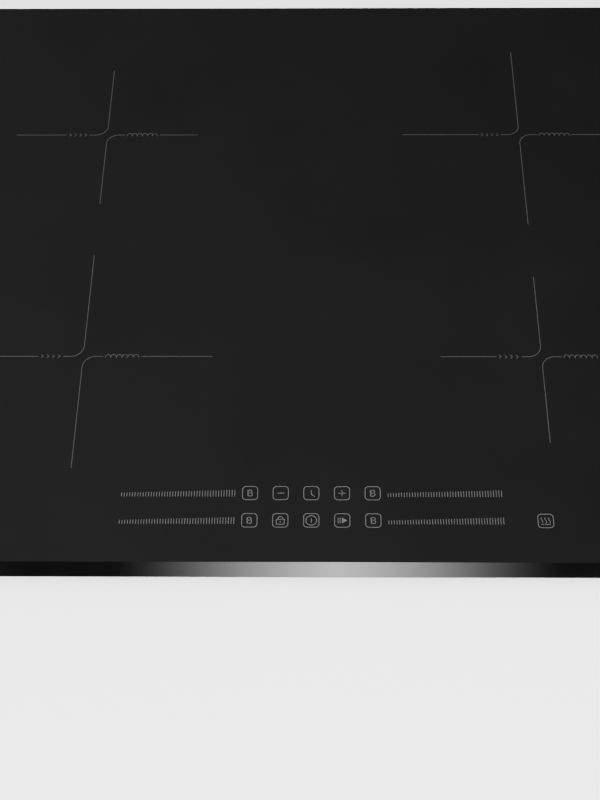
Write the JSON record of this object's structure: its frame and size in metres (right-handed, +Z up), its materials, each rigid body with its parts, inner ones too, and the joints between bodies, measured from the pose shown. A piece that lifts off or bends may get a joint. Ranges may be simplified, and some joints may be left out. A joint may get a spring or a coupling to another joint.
{
  "type": "induction hob",
  "caption": "Built-in induction hob: bevelled black glass with cross-shaped zone marks and touch slider controls, over a steel tray of coils, fans and power boards.",
  "frame": {"origin": "centre of the glass in plan, on the worktop's surface that the seal rests on", "axes": "+X to the cook's right along the long side, +Y to the rear, +Z up out of the worktop"},
  "size_m": [0.59, 0.52, 0.0555],
  "materials": {
    "ceramic_glass": null,
    "seal_foam": "closed-cell foam tape",
    "silicone": "cured black silicone",
    "frame_steel": "black powder coat",
    "tray_steel": "galvanised sheet steel",
    "former_plastic": "glass-filled black plastic",
    "litz": "enamelled copper litz wire",
    "ferrite": "sintered ferrite, matt",
    "mica": "pressed mica sheet",
    "sensor_silicone": "silicone boot",
    "spring_steel": "bright spring steel",
    "lead_sleeve": "woven glass sleeving",
    "plate_aluminium": "mill-finish sheet",
    "pin_steel": "zinc plated",
    "board_green": "solder-masked glass epoxy",
    "sink_aluminium": "extruded",
    "package_black": "moulded epoxy",
    "capacitor": "cast resin and sleeved cans",
    "choke": "enamelled copper wire on a ring core",
    "filter_mix": "cast resin and copper wire",
    "fan_plastic": "black plastic",
    "impeller_plastic": "dark grey plastic",
    "motor_metal": "laminated steel and copper",
    "nylon_white": "natural nylon",
    "carrier_plastic": "white plastic",
    "pad_foam": "conductive foam",
    "display_black": "smoked display window",
    "terminal_plastic": "flame-retardant plastic",
    "cover_plastic": "flame-retardant plastic",
    "block_plastic": "cream plastic with brass screws",
    "grommet_rubber": "black rubber",
    "clip_steel": "bright spring steel",
    "screw_zinc": "zinc plated steel",
    "wire_pvc": "PVC insulation",
    "label_foil": "blank foil label"
  },
  "bodies": {
    "hob": {"base_tray": "tray_steel", "board_supports": "nylon_white", "bond_silicone": "silicone", "cable_grommet": "grommet_rubber", "case_screws": "screw_zinc", "clip_tabs": "clip_steel", "coil_leads": "lead_sleeve", "coil_plate_left": "plate_aluminium", "coil_plate_right": "plate_aluminium", "coil_springs": "spring_steel", "display_modules": "display_black", "fan_housing_left": "fan_plastic", "fan_housing_right": "fan_plastic", "fan_motors": "motor_metal", "filter_board": "board_green", "filter_parts": "filter_mix", "glass_frame": "frame_steel", "glass_plate": "ceramic_glass", "guide_pins": "pin_steel", "heat_sinks": "sink_aluminium", "power_board_left": "board_green", "power_board_right": "board_green", "power_capacitors": "capacitor", "power_chokes": "choke", "power_semiconductors": "package_black", "rating_plate": "label_foil", "seal_tape": "seal_foam", "terminal_block": "block_plastic", "terminal_housing": "terminal_plastic", "touch_board": "board_green", "touch_carrier": "carrier_plastic", "touch_pads": "pad_foam", "wiring": "wire_pvc"},
    "coil_front_left": {"coil_former_front_left": "former_plastic", "coil_winding_front_left": "litz", "coil_ferrites_front_left": "ferrite", "coil_mica_front_left": "mica", "coil_sensor_front_left": "sensor_silicone"},
    "coil_front_right": {"coil_former_front_right": "former_plastic", "coil_winding_front_right": "litz", "coil_ferrites_front_right": "ferrite", "coil_mica_front_right": "mica", "coil_sensor_front_right": "sensor_silicone"},
    "coil_rear_left": {"coil_former_rear_left": "former_plastic", "coil_winding_rear_left": "litz", "coil_ferrites_rear_left": "ferrite", "coil_mica_rear_left": "mica", "coil_sensor_rear_left": "sensor_silicone"},
    "coil_rear_right": {"coil_former_rear_right": "former_plastic", "coil_winding_rear_right": "litz", "coil_ferrites_rear_right": "ferrite", "coil_mica_rear_right": "mica", "coil_sensor_rear_right": "sensor_silicone"},
    "impeller_left": {"fan_impeller_left": "impeller_plastic"},
    "impeller_right": {"fan_impeller_right": "impeller_plastic"},
    "terminal_lid": {"terminal_cover": "cover_plastic"},
    "leaf_front_left": {"clip_front_left": "clip_steel"},
    "leaf_front_right": {"clip_front_right": "clip_steel"},
    "leaf_rear_left": {"clip_rear_left": "clip_steel"},
    "leaf_rear_right": {"clip_rear_right": "clip_steel"}
  },
  "joints": [
    {"name": "coil_front_left_float", "type": "slide", "parent": "hob", "child": "coil_front_left", "axis": [0, 0, 1], "range_m": [-0.003, 0], "stiffness_N_per_m": 2000, "springref_m": 0.008, "deforming": ["coil_springs", "coil_leads"]},
    {"name": "coil_front_right_float", "type": "slide", "parent": "hob", "child": "coil_front_right", "axis": [0, 0, 1], "range_m": [-0.003, 0], "stiffness_N_per_m": 2000, "springref_m": 0.008, "deforming": ["coil_springs", "coil_leads"]},
    {"name": "coil_rear_left_float", "type": "slide", "parent": "hob", "child": "coil_rear_left", "axis": [0, 0, 1], "range_m": [-0.003, 0], "stiffness_N_per_m": 2000, "springref_m": 0.008, "deforming": ["coil_springs", "coil_leads"]},
    {"name": "coil_rear_right_float", "type": "slide", "parent": "hob", "child": "coil_rear_right", "axis": [0, 0, 1], "range_m": [-0.003, 0], "stiffness_N_per_m": 2000, "springref_m": 0.008, "deforming": ["coil_springs", "coil_leads"]},
    {"name": "impeller_left_spin", "type": "hinge", "parent": "hob", "child": "impeller_left", "pos_m": [-0.05, 0.138, -0.03], "axis": [0, 0, 1], "continuous": true},
    {"name": "impeller_right_spin", "type": "hinge", "parent": "hob", "child": "impeller_right", "pos_m": [0.05, 0.138, -0.03], "axis": [0, 0, 1], "continuous": true},
    {"name": "terminal_cover_hinge", "type": "hinge", "parent": "hob", "child": "terminal_lid", "pos_m": [-0.206, 0.177, -0.0464], "axis": [-1, 0, 0], "range_deg": [0, 100]},
    {"name": "clip_front_left_flex", "type": "hinge", "parent": "hob", "child": "leaf_front_left", "pos_m": [-0.2774, -0.15, -0.0138], "axis": [0, -1, 0], "range_deg": [0, 13], "stiffness_Nm_per_rad": 2.4, "springref_deg": -1.15},
    {"name": "clip_front_right_flex", "type": "hinge", "parent": "hob", "child": "leaf_front_right", "pos_m": [0.2774, -0.15, -0.0138], "axis": [0, 1, 0], "range_deg": [0, 13], "stiffness_Nm_per_rad": 2.4, "springref_deg": -1.15},
    {"name": "clip_rear_left_flex", "type": "hinge", "parent": "hob", "child": "leaf_rear_left", "pos_m": [-0.2774, 0.15, -0.0138], "axis": [0, -1, 0], "range_deg": [0, 13], "stiffness_Nm_per_rad": 2.4, "springref_deg": -1.15},
    {"name": "clip_rear_right_flex", "type": "hinge", "parent": "hob", "child": "leaf_rear_right", "pos_m": [0.2774, 0.15, -0.0138], "axis": [0, 1, 0], "range_deg": [0, 13], "stiffness_Nm_per_rad": 2.4, "springref_deg": -1.15}
  ]
}
